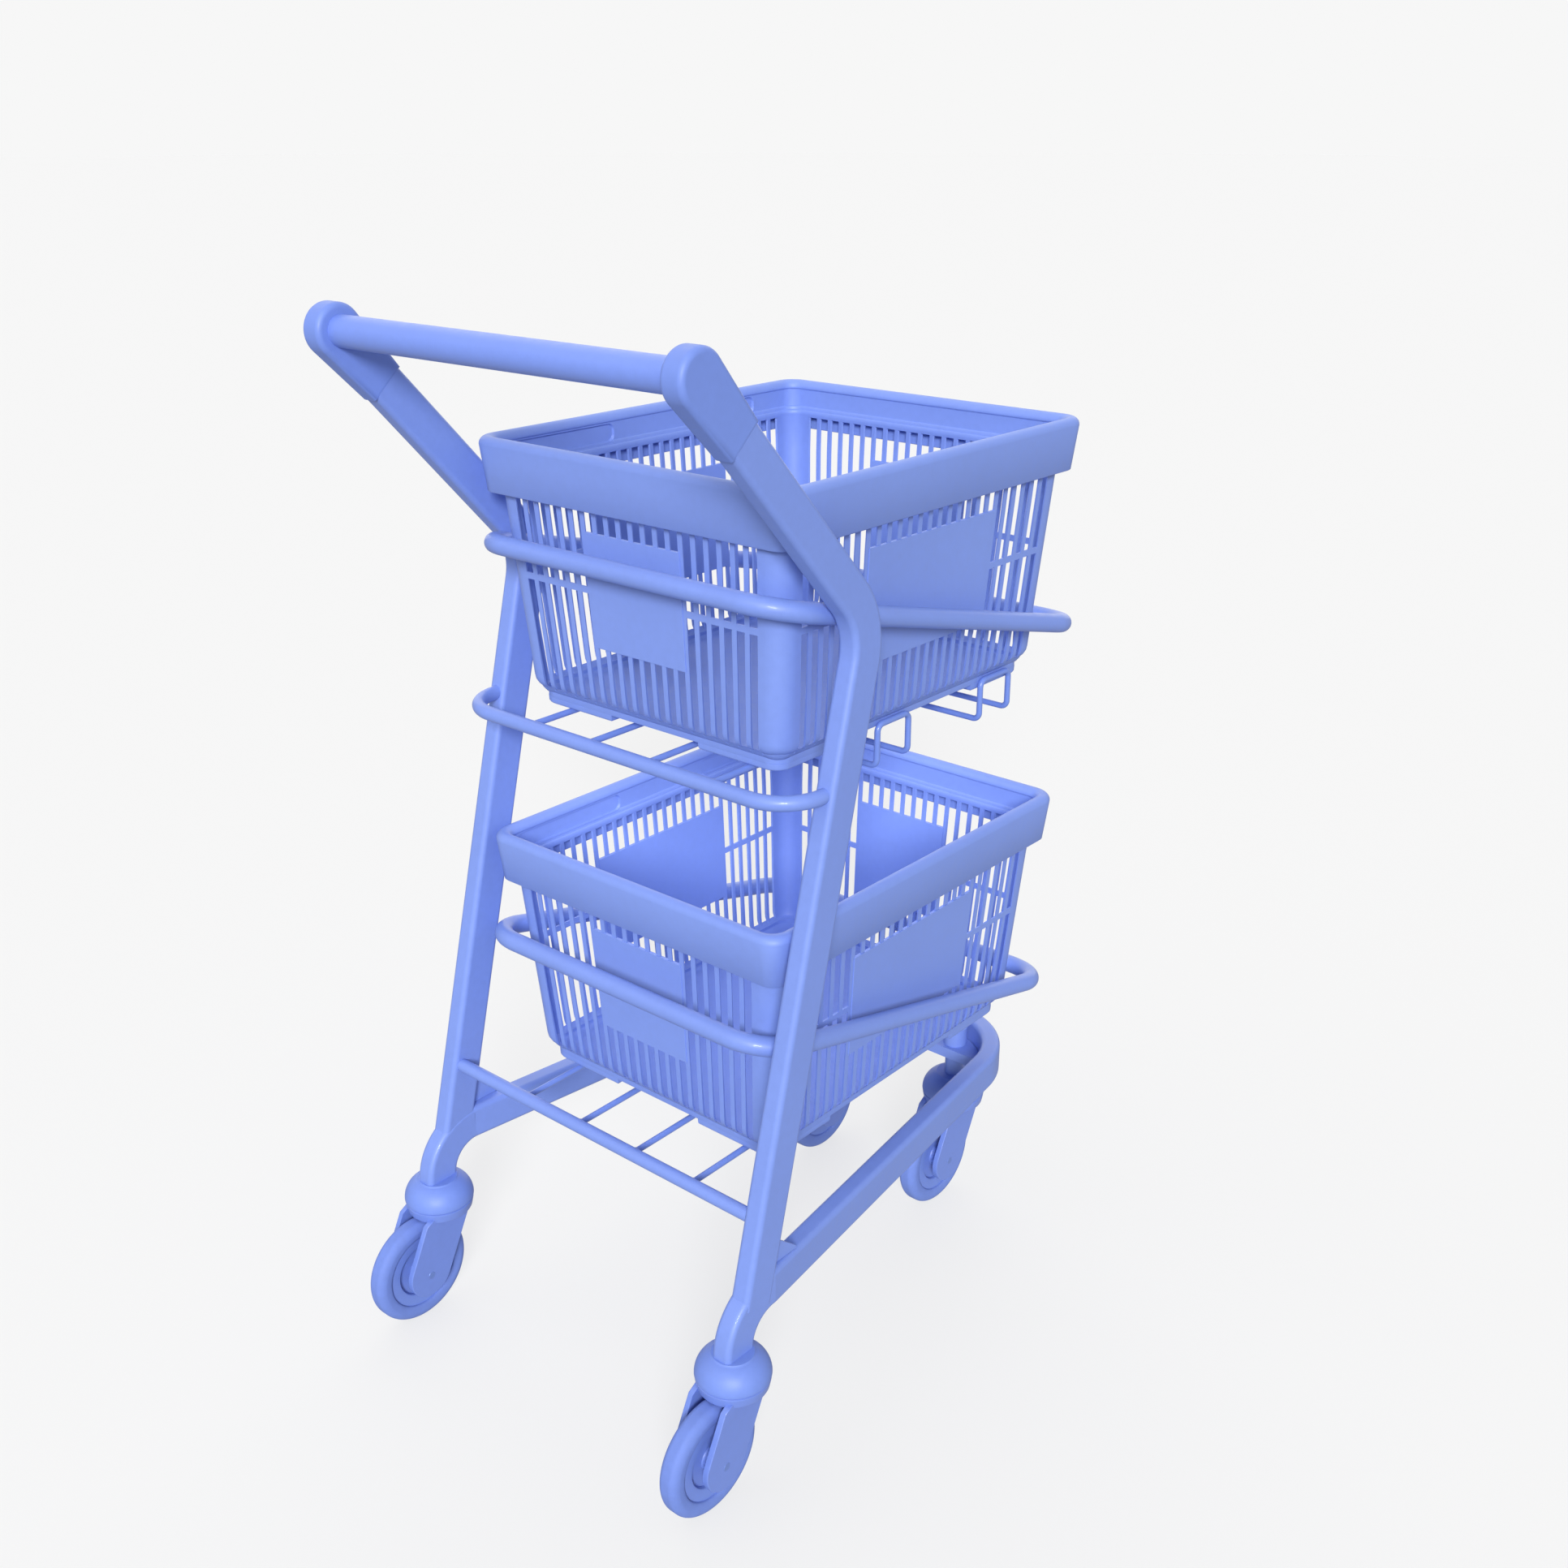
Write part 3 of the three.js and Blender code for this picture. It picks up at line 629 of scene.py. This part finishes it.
# The wall that the slots lie on narrows by this share of their depth.
SLOT_CROWDING = 0.075
# The row of slots never takes up more than this share of a wall's straight part.
SLOT_SPAN = 0.985
# The slats are narrower inside than outside by this much on each edge.
SLAT_DRAFT = 0.8
RIB_LOW = -77.4
RIB_HIGH = -71.4
PANEL_TOP = -21.2
PANEL_BOTTOM = -127.0
# How far a blank panel stands out from the slats, outside and inside.
PANEL_PROUD = (0.9, 0.7)
BASE = -196.1
FOOT = -202.2
# A side's slots: their number, their spacing, and half the width of its blank panel.
SHORT_SIDE = {"count": 20, "pitch": 14.7, "panel": 57.7}
LONG_SIDE = {"count": 25, "pitch": 14.78, "panel": 94.4}
CORNER_STEPS = 10
# Strips of the wall that stay solid: the rib everywhere, and the panel from end to end.
RIB_LEVELS = (4,)
PANEL_LEVELS = (3, 4, 5)
# A corner foot's inner corner, from the basket's middle, and its rounding.
FOOT_START = (54.0, 99.5)
FOOT_INSET = 31
FOOT_RADIUS = 15.0
# The foot from the ground up: how far it is drawn in from the skirt, and its height.
FOOT_RINGS = ((33.6, FOOT), (32.2, FOOT + 0.8), (31.4, FOOT + 2.2), (31.2, BASE + 1.0))
# The recesses in the rim's inner face: how far in, where along the side, and how high.
POCKET_INSET = 7.0
POCKET_REAR = 55.5
POCKET_REAR_END = 22.0
POCKET_FRONT = (69.5, 148.0)
POCKET_HEIGHTS = (23.0, 39.6)
POCKET_RADIUS = 6.5
CORNERS = ((1, 1), (-1, 1), (-1, -1), (1, -1))


def side_row(side):
    """The slots of a side; sides 0 and 2 are the long ones."""
    return LONG_SIDE if side % 2 == 0 else SHORT_SIDE


class Basket:
    """The basket's outline about its own middle; z is 0 at the rim's lower edge."""

    def __init__(self, node):
        low, high = mm_box(node)
        self.half_x = (high.x - low.x) / 2 - RIM_FLARE
        self.half_y = (high.y - low.y) / 2 - RIM_FLARE
        self.origin = Vector((0, (low.y + high.y) / 2, high.z - RIM_HEIGHT))
        self.columns = self.make_columns()

    def make_columns(self):
        """Columns round the outline: (side, distance along it, share of the corner, slot kind).

        A side starts with a column that has neither distance nor share. The slot kind belongs to
        the strip between a column and the next one.
        """
        columns = []
        for side in range(4):
            row = side_row(side)
            columns.append((side, None, None, None))
            for i in range(row["count"]):
                centre = (i - (row["count"] - 1) / 2) * row["pitch"]
                kind = "panel" if abs(centre) < row["panel"] else "plain"
                columns.append((side, centre - SLOT / 2, None, kind))
                columns.append((side, centre + SLOT / 2, None, None))
            for step in range(CORNER_STEPS):
                columns.append((side, None, step / CORNER_STEPS, None))
        return columns

    def squeeze(self, side, z):
        """How much closer together the slots are at height z."""
        reach = (self.half_y if side % 2 == 0 else self.half_x) - WALL_INSET
        return (reach + SLOT_CROWDING * max(min(z, 0.0), SLOT_BOTTOM)) / reach

    def outline(self, offset, z, radius, draft=0.0):
        """The points of all columns at height z; `radius` is the corners' own."""
        half_x = self.half_x + offset
        half_y = self.half_y + offset
        points = []
        for side, along, share, kind in self.columns:
            half, reach = (half_y, half_x) if side % 2 == 0 else (half_x, half_y)
            straight = half - radius
            if along is not None:
                row = side_row(side)
                last = (row["count"] - 1) / 2 * row["pitch"] + SLOT / 2
                scale = min(self.squeeze(side, z), SLOT_SPAN * straight / last)
                local = (reach, (along + (-draft if kind else draft)) * scale)
            elif share is not None:
                angle = share * math.pi / 2
                bend = (radius * math.cos(angle), radius * math.sin(angle))
                local = (reach - radius + bend[0], straight + bend[1])
            else:
                local = (reach, -straight)
            points.append(self.turn(side, *local, z))
        return points

    @staticmethod
    def turn(side, out, along, z):
        """A point `out` from the middle and `along` the side, counted anticlockwise from +X."""
        x, y = ((out, along), (-along, out), (-out, -along), (along, -out))[side]
        return Vector((x, y, z))


def wall_offset(z):
    """The outer wall's offset at height z: it leans in downwards."""
    return -WALL_INSET + (z - WALL_TOP) * WALL_SLOPE


def shell_rows():
    """The skin's rows from the base up the outside, over the rim and down the inside.

    A row is (offset, height, corner radius, and the slats' draft where they have one). The rows
    come as five runs: low outer, slotted outer, rim, slotted inner, low inner.
    """
    outer_arc = arc((-30.8, WALL_FOOT), (9.2, 12.0), -90, 0, 90)
    inner_arc = arc((-38.0, WALL_FOOT), (13.6, 18.8), -90, 0, 90)
    low_turn = (0, 14, 30)
    slot_turn = (48, 68, 90)
    low_outer = [(-32.6, BASE, 15), (-31.3, BASE + 0.4, 16), (-30.8, BASE + 1.6, 17)]
    low_outer += [(*outer_arc[i], 17 + i * 0.03) for i in low_turn]
    low_inner = [(*inner_arc[i], 8 + i * 0.09) for i in low_turn]
    slot_outer = [(*outer_arc[i], 19.0) for i in slot_turn]
    slot_inner = [(*inner_arc[i], 12 + i * 0.05, SLAT_DRAFT) for i in slot_turn]
    for z in (PANEL_BOTTOM, RIB_LOW, RIB_HIGH, PANEL_TOP, SLOT_TOP):
        slot_outer.append((wall_offset(z), z, 19.5))
        slot_inner.append((wall_offset(z) - WALL_THICK, z, 16.8, SLAT_DRAFT))
    inside_skirt = [
        (-6.6, 17.0, 19),
        (-4.0, 22.0, 18.5),
        (-3.2, 42.0, 18.5),
        (-1.8, 44.4, 18.8),
        (1.2, 44.4, 19.2),
        (2.8, 42.0, 19.5),
        (-2.2, 0.6, 13.2),
    ]
    skirt_edge = [(-1.6, 0.0, 13.4), (-0.6, 0.0, 13.8), (0.1, 0.7, 14.2)]
    lip = [(o, z, 13 + (o + 7.8) * 0.58) for o, z in arc((-0.9, 43.0), (6.9, 7.4), 0, 180, 18)]
    groove = [(-7.5, 41.9, 13.4), (-6.7, 41.4, 13.8), (-6.6, 40.6, 14.0)]
    ledge = [(-7.1, 24.2, 14.4), (-8.3, 23.5, 14.6), (-8.6, 22.9, 14.8), (-8.7, 20.4, 15.0)]
    ledge += [(-9.9, 19.7, 15.4), (-10.2, 19.1, 15.7), (-10.3, 15.8, 16.0)]
    rim = inside_skirt + skirt_edge + lip + groove + ledge
    return low_outer, slot_outer, rim, slot_inner[::-1], low_inner[::-1]


def basket_shell(basket):
    """The whole skin as one closed surface: base, slotted outer wall, rim, inner wall, floor."""
    low_outer, slot_outer, rim, slot_inner, low_inner = shell_rows()
    rows = low_outer + slot_outer + rim + slot_inner + low_inner
    count = len(basket.columns)
    points = [p for row in rows for p in basket.outline(*row)]
    levels = len(slot_outer)
    outer_first = len(low_outer)
    inner_last = len(rows) - len(low_inner) - 1

    def outer(level, column):
        return (outer_first + level) * count + column % count

    def inner(level, column):
        return (inner_last - level) * count + column % count

    def across(start, end):
        """A face through the wall between two (level, column) places."""
        return (outer(*start), outer(*end), inner(*end), inner(*start))

    def is_open(level, column):
        kind = basket.columns[column % count][3]
        if kind is None or not 0 <= level < levels - 1:
            return False
        return level not in (PANEL_LEVELS if kind == "panel" else RIB_LEVELS)

    faces = []
    for i in range(len(rows) - 1):
        on_outer = outer_first <= i < outer_first + levels - 1
        on_inner = inner_last - levels < i < inner_last
        level = i - outer_first if on_outer else inner_last - i - 1
        here = i * count
        there = here + count
        for k in range(count):
            if (on_outer or on_inner) and is_open(level, k):
                continue
            m = (k + 1) % count
            faces.append((here + k, here + m, there + m, there + k))
    for level in range(levels - 1):
        for k in range(count):
            if not is_open(level, k):
                continue
            for column in (k, k + 1):
                faces.append(across((level, column), (level + 1, column)))
            for edge, beyond in ((level, level - 1), (level + 1, level + 1)):
                if not is_open(beyond, k):
                    faces.append(across((edge, k), (edge, k + 1)))
    faces.append(tuple(range(count)))
    faces.append(tuple((len(rows) - 1) * count + k for k in range(count)))
    return points, faces


def basket_panels(basket):
    """Four blank plates, a little proud of the slats on both faces."""
    shapes = []
    for side in range(4):
        row = side_row(side)
        reach = basket.half_x if side % 2 == 0 else basket.half_y
        rings = []
        for z in (PANEL_BOTTOM - 0.6, PANEL_TOP + 0.6):
            half = row["panel"] * basket.squeeze(side, z)
            front = reach + wall_offset(z) + PANEL_PROUD[0]
            back = reach + wall_offset(z) - WALL_THICK - PANEL_PROUD[1]
            corners = ((back, -half), (front, -half), (front, half), (back, half))
            rings.append([basket.turn(side, out, along, z) for out, along in corners])
        shapes.append(stack(rings))
    return joined(*shapes)


def basket_feet(basket):
    """A low foot under each corner, with a channel between each pair for the rack wires."""
    radius = FOOT_RADIUS
    shapes = []
    for sx, sy in CORNERS:
        rings = []
        for inset, z in FOOT_RINGS:
            near_x = FOOT_START[0] + inset - FOOT_INSET
            near_y = FOOT_START[1] + inset - FOOT_INSET
            far_x = basket.half_x - inset
            far_y = basket.half_y - inset
            outline = [(near_x, near_y), (far_x, near_y)]
            outline += arc((far_x - radius, far_y - radius), (radius, radius), 0, 90, 8)
            outline += [(near_x, far_y)]
            rings.append([Vector((sx * x, sy * y, z)) for x, y in outline])
        shapes.append(stack(rings))
    return joined(*shapes)


def pocket_cutter(basket, sx, sy):
    """The shape of a shallow long recess in the inner face of the rim."""
    x = basket.half_x - POCKET_INSET
    start, end = POCKET_FRONT
    if sy < 0:
        start, end = POCKET_REAR, basket.half_y - POCKET_REAR_END
    low, high = POCKET_HEIGHTS
    radius = POCKET_RADIUS
    outline = []
    for cy, cz, a in ((end, high, 0), (start, high, 90), (start, low, 180), (end, low, 270)):
        centre_y = cy + (-radius if cy == end else radius)
        centre_z = cz + (-radius if cz == high else radius)
        outline += arc((centre_y, centre_z), (radius, radius), a, a + 90, 6)
    mid_y, mid_z = (start + end) / 2, (low + high) / 2
    rings = []
    for reach, grow in ((-6.0, 0.5), (0.2, 0.5), (2.4, -0.5)):
        ring_points = []
        for y, z in outline:
            y += grow * (1 if y > mid_y else -1)
            z += grow * (1 if z > mid_z else -1)
            ring_points.append(Vector((sx * (x + reach), sy * y, z)))
        rings.append(ring_points)
    return stack(rings)


def cut(piece, shape):
    """Cuts a shape out of a piece for good."""
    cutter = bpy.data.objects.new("cutter", shape_mesh("cutter", shape))
    bpy.context.scene.collection.objects.link(cutter)
    modifier = piece.modifiers.new("cut", "BOOLEAN")
    modifier.operation = "DIFFERENCE"
    modifier.solver = "EXACT"
    modifier.object = cutter
    bpy.context.view_layer.update()
    graph = bpy.context.evaluated_depsgraph_get()
    result = bpy.data.meshes.new_from_object(piece.evaluated_get(graph))
    piece.modifiers.remove(modifier)
    piece.data = result
    bpy.data.objects.remove(cutter)


def build_basket(level):
    """A basket: slotted shell with recesses in its rim, blank panels and corner feet."""
    node = f"basket_{level}"
    basket = Basket(node)
    origin = basket.origin
    skin = moved(basket_shell(basket), origin)
    shell = mesh_piece(f"basket_{level}_shell", skin, BASKET, node, node, bevel=0.45)
    # The edges are rounded again once the recesses are cut.
    shell.modifiers.clear()
    pockets = [moved(pocket_cutter(basket, sx, sy), origin) for sx in (-1, 1) for sy in (-1, 1)]
    cut(shell, joined(*pockets))
    round_edges(shell, 0.45, segments=2, angle=50)
    panels = moved(basket_panels(basket), origin)
    mesh_piece(f"basket_{level}_panels", panels, BASKET, node, bevel=0.35)
    feet = moved(basket_feet(basket), origin)
    mesh_piece(f"basket_{level}_feet", feet, BASKET, node, sharp=40)


# ---- casters ----
# Profiles are lists of (radius, height) or, for the wheels, (radius, half width).
CROWN_PROFILE = [
    (6.5, 112.8),
    (30.6, 112.8),
    (32.2, 113.4),
    (32.9, 114.8),
    (34.3, 121.6),
    (34.2, 122.8),
    (33.2, 123.8),
    (31.8, 124.1),
    (6.5, 124.1),
]
HUB_SIDE = [
    (5.0, 13.4),
    (9.4, 13.4),
    (10.6, 12.6),
    (11.2, 5.0),
    (12.6, 3.4),
    (25.4, 2.8),
    (27.0, 3.6),
    (27.8, 6.4),
    (29.0, 7.4),
    (39.6, 7.6),
]
HOOD_SKIRT = 8.6
BLADE_THICK = BLADE_OUTER - BLADE_INNER
# A blade's slices: how far its outline is drawn in, and how far it is from the inner face.
BLADE_SLICES = (
    (0.0, 0.0),
    (0.0, BLADE_THICK - 0.9),
    (0.3, BLADE_THICK - 0.3),
    (0.9, BLADE_THICK),
)


def hood(where):
    """The domed cover over a caster's swivel."""
    low, high = mm_box(f"caster_hood_{where}")
    centre = (low + high) / 2
    skirt = low.z + HOOD_SKIRT
    profile = [(6.0, low.z), (6.0, skirt), (33.6, skirt), (34.8, skirt + 0.6)]
    profile += arc((13.0, skirt + 1.9), (22.0, 22.1), 0, 70, 20)
    profile += [(19.6, 148.4), (17.0, 148.6)]
    shape = turned(profile, 72, upright(centre.x, centre.y))
    node = f"caster_hood_{where}"
    mesh_piece(f"hood_{where}", shape, MOULDING, "frame", node, sharp=44)


def blade_outline(inset):
    """The fork blade from the side: a leaning strip, round about the axle."""
    reach = BLADE_END - inset
    points = [(-26.0 + inset, 118.0), (-35.1 + inset, 112.8)]
    for u, z in arc((-WHEEL_TRAIL, BLADE_END_Z), (reach, reach), 153.6, 333.6, 24):
        points.append((u, z))
    points += [(14.4 - inset, 100.0), (23.3 - inset, 118.0)]
    return points


def fork(where):
    """The swivel crown and its two blades."""
    low, high = mm_box(f"caster_fork_{where}")
    x = (low.x + high.x) / 2
    y = middle(f"caster_hood_{where}").y
    shapes = [turned(CROWN_PROFILE, 72, upright(x, y))]
    for sign in (-1, 1):
        rings = []
        for inset, depth in BLADE_SLICES:
            blade_x = x + sign * (BLADE_INNER + depth)
            rings.append([Vector((blade_x, y + u, z)) for u, z in blade_outline(inset)])
        shapes.append(stack(rings))
    node = f"caster_fork_{where}"
    body = f"caster_{where}"
    mesh_piece(f"fork_{where}", joined(*shapes), PRESSED, body, node, sharp=40)


def axle(where):
    """The axle bolt, its ends chamfered and a little proud of the blades."""
    centre = middle(f"tyre_{where}")
    reach = BLADE_OUTER + AXLE_PROUD
    end = [(AXLE_RADIUS - AXLE_CHAMFER, reach), (AXLE_RADIUS, reach - AXLE_CHAMFER)]
    profile = [(r, -h) for r, h in end] + [(r, h) for r, h in reversed(end)]
    shape = turned(profile, 40, crosswise(centre))
    node = f"caster_axle_{where}"
    mesh_piece(f"axle_{where}", shape, BOLT, f"caster_{where}", node, sharp=40)


def both_sides(side):
    """A wheel's closed profile from one side's, as (radius, distance along the axle)."""
    profile = [(r, -h) for r, h in side] + [(r, h) for r, h in reversed(side)]
    return profile + profile[:1]


def wheel(where):
    """The hub with its recessed web, and the tyre with its rounded tread."""
    centre = middle(f"tyre_{where}")
    low, high = mm_box(f"tyre_{where}")
    radius = (high.z - low.z) / 2
    bulge = (high.x - low.x) / 2 - 0.4
    body = f"wheel_{where}"
    hub = turned(both_sides(HUB_SIDE), 72, crosswise(centre))
    mesh_piece(f"hub_{where}", hub, HUB, body, f"wheel_hub_{where}", sharp=44)

    side = [(39.4, 7.2), (39.8, 9.0), (41.0, 9.8), (43.0, bulge)]
    side += arc((46.0, 3.4), (radius - 46.0, bulge - 3.0), 84, 0, 10)
    tread = turned(both_sides(side), 96, crosswise(centre))
    mesh_piece(f"tread_{where}", tread, RUBBER, body, f"tyre_{where}", sharp=50)


# ---- surroundings, in metres ----
SKY = 0.46
PAPER = 0.20
PAPER_GLOW = 0.68
BACKDROP_GLOW = 0.93
STAGE_REACH = 40.0
WHITE = (1.0, 1.0, 1.0, 1.0)
CAMERA_LENS = 39.05
CAMERA_SENSOR = 36.0
CAMERA_PLACE = (1.01654, -1.12234, 1.17402)
CAMERA_PITCH = 68.01
CAMERA_HEADING = 40.302


def paper(name, shade, glow):
    """A matt sheet that is evenly lit by itself."""
    material = bpy.data.materials.new(name)
    material.use_nodes = True
    shader = material.node_tree.nodes["Principled BSDF"]
    shader.inputs["Base Color"].default_value = (shade, shade, shade, 1.0)
    shader.inputs["Roughness"].default_value = 1.0
    shader.inputs["Specular IOR Level"].default_value = 0.0
    shader.inputs["Emission Color"].default_value = WHITE
    shader.inputs["Emission Strength"].default_value = glow
    return material


def stage_piece(name, mesh, material):
    """Part of the set: it is seen, but it doesn't colour or shade the trolley."""
    piece = bpy.data.objects.new(name, mesh)
    bpy.context.scene.collection.objects.link(piece)
    mesh.materials.append(material)
    piece.visible_diffuse = False
    piece.visible_glossy = False
    piece.visible_shadow = False


def build_stage():
    """A plain floor, a plain backdrop all round it, and an even pale sky."""
    reach = STAGE_REACH
    floor = bpy.data.meshes.new("floor")
    corners = [(-reach, -reach, 0), (reach, -reach, 0), (reach, reach, 0), (-reach, reach, 0)]
    floor.from_pydata(corners, [], [(0, 1, 2, 3)])
    stage_piece("floor", floor, paper("floor_paper", PAPER, PAPER_GLOW))

    backdrop = bpy.data.meshes.new("backdrop")
    work = bmesh.new()
    bmesh.ops.create_uvsphere(work, u_segments=64, v_segments=32, radius=reach)
    work.to_mesh(backdrop)
    work.free()
    stage_piece("backdrop", backdrop, paper("backdrop_paper", 0.0, BACKDROP_GLOW))

    world = bpy.data.worlds.new("studio")
    world.use_nodes = True
    background = world.node_tree.nodes["Background"]
    background.inputs["Color"].default_value = WHITE
    background.inputs["Strength"].default_value = SKY
    bpy.context.scene.world = world


def soft_sun(name, power, spread, toward):
    """A light from far off, `spread` degrees wide; `toward` points from the object to it."""
    data = bpy.data.lights.new(name, "SUN")
    data.energy = power
    data.angle = math.radians(spread)
    light = bpy.data.objects.new(name, data)
    bpy.context.scene.collection.objects.link(light)
    light.rotation_euler = (-Vector(toward)).to_track_quat("-Z", "Y").to_euler()


def soft_panel(name, power, size, place):
    """A lamp panel facing down that isn't seen itself."""
    data = bpy.data.lights.new(name, "AREA")
    data.shape = "RECTANGLE"
    data.size, data.size_y = size
    data.energy = power
    light = bpy.data.objects.new(name, data)
    bpy.context.scene.collection.objects.link(light)
    light.location = place
    light.visible_camera = False


def build_camera():
    """The camera: behind the handle and to its right, looking down a little."""
    data = bpy.data.cameras.new("camera")
    data.lens = CAMERA_LENS
    data.sensor_width = CAMERA_SENSOR
    camera = bpy.data.objects.new("camera", data)
    camera.location = CAMERA_PLACE
    camera.rotation_euler = (math.radians(CAMERA_PITCH), 0.0, math.radians(CAMERA_HEADING))
    bpy.context.scene.collection.objects.link(camera)
    bpy.context.scene.camera = camera


build_camera()
build_stage()
# Three broad lights for the whole object, and a panel over the lower basket.
soft_sun("key", 0.60, 75.0, (-0.35, -0.62, 0.80))
soft_sun("fill", 3.25, 16.0, (0.60, -0.70, 0.42))
soft_sun("far_fill", 1.50, 80.0, (-0.60, 0.70, 0.42))
soft_panel("basket_fill", 0.40, (0.26, 0.34), (0.0, 0.075, 0.598))
bpy.context.scene.view_settings.view_transform = "Standard"

base_rail()
for side_name, side_sign in (("left", -1), ("right", 1)):
    side_frame(side_name, side_sign)
    front_posts(side_name)
    handle_bracket(side_name)
kept_plates()
handle_bar()
for level_name in ("upper", "lower"):
    ring(level_name)
    build_basket(level_name)
    for wire_number in (1, 2, 3, 4):
        rack_wire(level_name, wire_number)
hoop()
cross_tube()
for place_name in ("rear", "front"):
    stirrup(place_name)
for position in POSITIONS:
    hood(position)
    fork(position)
    axle(position)
    wheel(position)
